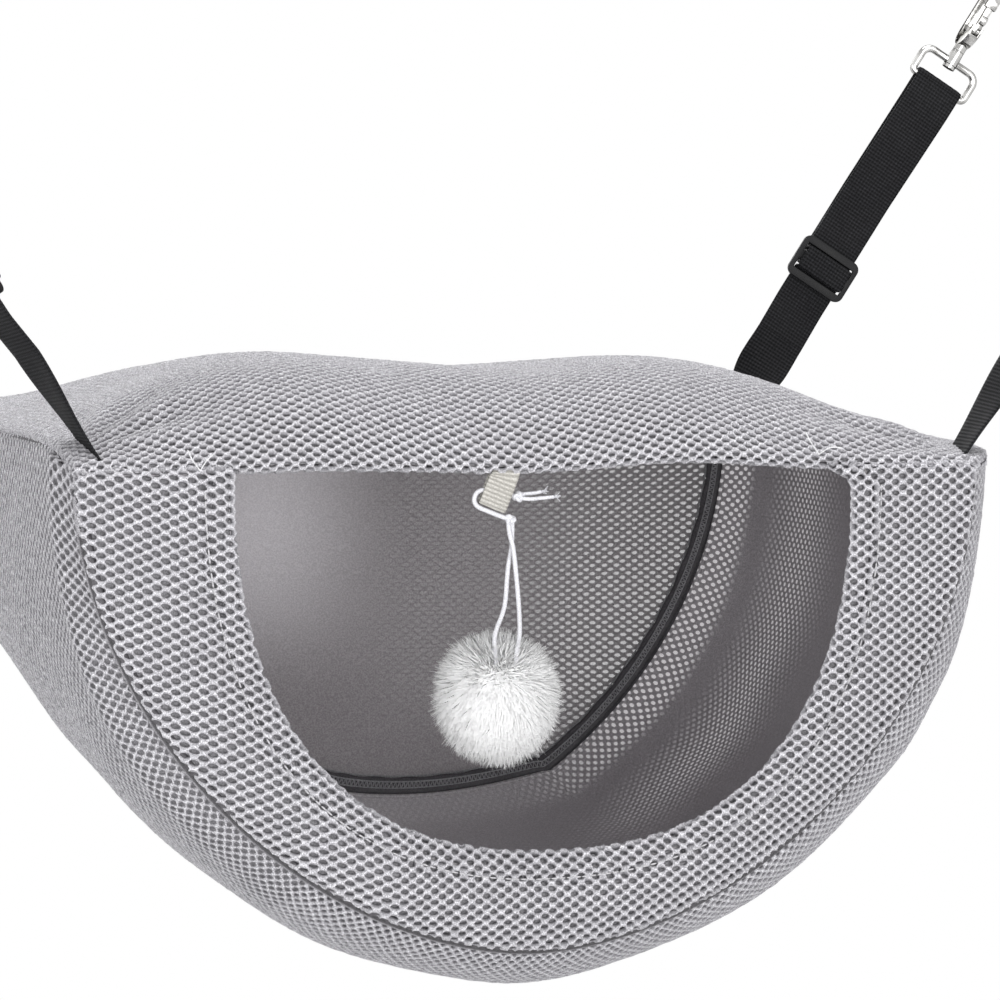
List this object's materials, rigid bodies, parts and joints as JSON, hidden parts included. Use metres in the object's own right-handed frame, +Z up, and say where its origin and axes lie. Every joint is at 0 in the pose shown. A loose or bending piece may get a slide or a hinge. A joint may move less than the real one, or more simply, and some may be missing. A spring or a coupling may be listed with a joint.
{
  "type": "hanging pet hammock",
  "caption": "Half-moon mesh pet hammock pouch with a wide front mouth, hung by adjustable corner straps with swivel snap hooks, with a pompom toy on an elastic cord",
  "frame": {"origin": "middle of the part in plan, at the lowest point of the pouch", "axes": "+X to the right of the mouth, +Y from the mouth to the back, +Z up"},
  "size_m": [0.672, 0.43, 0.4517],
  "materials": {
    "air_mesh": "matte",
    "seam": "matte",
    "webbing": "matte",
    "slider_plastic": "satin",
    "nickel": "gloss",
    "ribbon": "matte",
    "elastic": "matte",
    "pompom_fur": "matte"
  },
  "bodies": {
    "pouch": {"top_panel": "air_mesh", "front_panel": "air_mesh", "back_panel": "air_mesh", "gusset_panel": "air_mesh", "front_seam": "seam", "back_seam": "seam", "top_back_seam": "seam", "top_side_seams": "seam", "toy_tab": "ribbon", "strap_anchor_front_left": "webbing", "strap_lower_run_front_left": "webbing", "strap_anchor_front_right": "webbing", "strap_lower_run_front_right": "webbing", "strap_anchor_back_left": "webbing", "strap_lower_run_back_left": "webbing", "strap_anchor_back_right": "webbing", "strap_lower_run_back_right": "webbing"},
    "slider_front_left": {"slider_front_left": "slider_plastic", "strap_weave_front_left": "webbing", "strap_upper_run_front_left": "webbing"},
    "loop_front_left": {"strap_bend_front_left": "webbing"},
    "ring_front_left": {"ring_front_left": "nickel"},
    "hook_front_left": {"hook_front_left": "nickel", "gate_pin_front_left": "nickel", "gate_spring_front_left": "nickel"},
    "gate_front_left": {"gate_front_left": "nickel"},
    "slider_front_right": {"slider_front_right": "slider_plastic", "strap_weave_front_right": "webbing", "strap_upper_run_front_right": "webbing"},
    "loop_front_right": {"strap_bend_front_right": "webbing"},
    "ring_front_right": {"ring_front_right": "nickel"},
    "hook_front_right": {"hook_front_right": "nickel", "gate_pin_front_right": "nickel", "gate_spring_front_right": "nickel"},
    "gate_front_right": {"gate_front_right": "nickel"},
    "slider_back_left": {"slider_back_left": "slider_plastic", "strap_weave_back_left": "webbing", "strap_upper_run_back_left": "webbing"},
    "loop_back_left": {"strap_bend_back_left": "webbing"},
    "ring_back_left": {"ring_back_left": "nickel"},
    "hook_back_left": {"hook_back_left": "nickel", "gate_pin_back_left": "nickel", "gate_spring_back_left": "nickel"},
    "gate_back_left": {"gate_back_left": "nickel"},
    "slider_back_right": {"slider_back_right": "slider_plastic", "strap_weave_back_right": "webbing", "strap_upper_run_back_right": "webbing"},
    "loop_back_right": {"strap_bend_back_right": "webbing"},
    "ring_back_right": {"ring_back_right": "nickel"},
    "hook_back_right": {"hook_back_right": "nickel", "gate_pin_back_right": "nickel", "gate_spring_back_right": "nickel"},
    "gate_back_right": {"gate_back_right": "nickel"},
    "toy_hitch": {"toy_hitch": "elastic", "toy_knot": "elastic"},
    "pompom": {"toy_cord": "elastic", "pompom": "pompom_fur"}
  },
  "joints": [
    {"name": "strap_adjust_front_left", "type": "slide", "parent": "pouch", "child": "slider_front_left", "axis": [-0.5446, 0, 0.8387], "range_m": [-0.022, 0.12], "deforming": ["strap_lower_run_front_left", "strap_upper_run_front_left"]},
    {"name": "strap_take_up_front_left", "type": "slide", "parent": "slider_front_left", "child": "loop_front_left", "axis": [-0.5446, 0, 0.8387], "range_m": [-0.06, 0.011]},
    {"name": "ring_tilt_front_left", "type": "hinge", "parent": "loop_front_left", "child": "ring_front_left", "pos_m": [-0.29729, -0.183, 0.40195], "axis": [-0.2171, 0.9659, -0.141], "range_deg": [-80, 80]},
    {"name": "hook_swivel_front_left", "type": "hinge", "parent": "ring_front_left", "child": "hook_front_left", "pos_m": [-0.30821, -0.183, 0.41877], "axis": [-0.5446, 0, 0.8387], "continuous": true},
    {"name": "gate_open_front_left", "type": "hinge", "parent": "hook_front_left", "child": "gate_front_left", "pos_m": [-0.30944, -0.1813, 0.43228], "axis": [0.2171, -0.9659, 0.141], "range_deg": [0, 38], "stiffness_Nm_per_rad": 0.04, "springref_deg": -28.65},
    {"name": "strap_adjust_front_right", "type": "slide", "parent": "pouch", "child": "slider_front_right", "axis": [0.5446, 0, 0.8387], "range_m": [-0.022, 0.12], "deforming": ["strap_lower_run_front_right", "strap_upper_run_front_right"]},
    {"name": "strap_take_up_front_right", "type": "slide", "parent": "slider_front_right", "child": "loop_front_right", "axis": [0.5446, 0, 0.8387], "range_m": [-0.06, 0.011]},
    {"name": "ring_tilt_front_right", "type": "hinge", "parent": "loop_front_right", "child": "ring_front_right", "pos_m": [0.30329, -0.183, 0.39718], "axis": [-0.2171, 0.9659, 0.141], "range_deg": [-80, 80]},
    {"name": "hook_swivel_front_right", "type": "hinge", "parent": "ring_front_right", "child": "hook_front_right", "pos_m": [0.31421, -0.183, 0.41399], "axis": [0.5446, 0, 0.8387], "continuous": true},
    {"name": "gate_open_front_right", "type": "hinge", "parent": "hook_front_right", "child": "gate_front_right", "pos_m": [0.31544, -0.18469, 0.4275], "axis": [-0.2171, 0.9659, 0.141], "range_deg": [0, 38], "stiffness_Nm_per_rad": 0.04, "springref_deg": -28.65},
    {"name": "strap_adjust_back_left", "type": "slide", "parent": "pouch", "child": "slider_back_left", "axis": [-0.5446, 0, 0.8387], "range_m": [-0.022, 0.12], "deforming": ["strap_lower_run_back_left", "strap_upper_run_back_left"]},
    {"name": "strap_take_up_back_left", "type": "slide", "parent": "slider_back_left", "child": "loop_back_left", "axis": [-0.5446, 0, 0.8387], "range_m": [-0.06, 0.011]},
    {"name": "ring_tilt_back_left", "type": "hinge", "parent": "loop_back_left", "child": "ring_back_left", "pos_m": [-0.29729, 0.183, 0.40084], "axis": [0.8387, 0, 0.5446], "range_deg": [-80, 80]},
    {"name": "hook_swivel_back_left", "type": "hinge", "parent": "ring_back_left", "child": "hook_back_left", "pos_m": [-0.30821, 0.183, 0.41765], "axis": [-0.5446, 0, 0.8387], "continuous": true},
    {"name": "gate_open_back_left", "type": "hinge", "parent": "hook_back_left", "child": "gate_back_left", "pos_m": [-0.31475, 0.17645, 0.42772], "axis": [-0.8387, 0, -0.5446], "range_deg": [0, 38], "stiffness_Nm_per_rad": 0.04, "springref_deg": -28.65},
    {"name": "strap_adjust_back_right", "type": "slide", "parent": "pouch", "child": "slider_back_right", "axis": [0.5446, 0, 0.8387], "range_m": [-0.022, 0.12], "deforming": ["strap_lower_run_back_right", "strap_upper_run_back_right"]},
    {"name": "strap_take_up_back_right", "type": "slide", "parent": "slider_back_right", "child": "loop_back_right", "axis": [0.5446, 0, 0.8387], "range_m": [-0.06, 0.011]},
    {"name": "ring_tilt_back_right", "type": "hinge", "parent": "loop_back_right", "child": "ring_back_right", "pos_m": [0.30329, 0.183, 0.39634], "axis": [-0.8387, 0, 0.5446], "range_deg": [-80, 80]},
    {"name": "hook_swivel_back_right", "type": "hinge", "parent": "ring_back_right", "child": "hook_back_right", "pos_m": [0.31421, 0.183, 0.41315], "axis": [0.5446, 0, 0.8387], "continuous": true},
    {"name": "gate_open_back_right", "type": "hinge", "parent": "hook_back_right", "child": "gate_back_right", "pos_m": [0.32075, 0.17645, 0.42322], "axis": [-0.8387, 0, 0.5446], "range_deg": [0, 38], "stiffness_Nm_per_rad": 0.04, "springref_deg": -28.65},
    {"name": "toy_swing", "type": "hinge", "parent": "pouch", "child": "toy_hitch", "pos_m": [-0.01658, -0.194, 0.21319], "axis": [0.9272, 0, -0.3746], "range_deg": [-60, 60]},
    {"name": "toy_sway", "type": "hinge", "parent": "toy_hitch", "child": "pompom", "pos_m": [-0.009, -0.194, 0.206], "axis": [0, 1, 0], "range_deg": [-40, 40]}
  ],
  "couplings": [
    {"joint": "strap_take_up_front_left", "follows": "strap_adjust_front_left", "ratio": -0.5},
    {"joint": "strap_take_up_front_right", "follows": "strap_adjust_front_right", "ratio": -0.5},
    {"joint": "strap_take_up_back_left", "follows": "strap_adjust_back_left", "ratio": -0.5},
    {"joint": "strap_take_up_back_right", "follows": "strap_adjust_back_right", "ratio": -0.5}
  ]
}
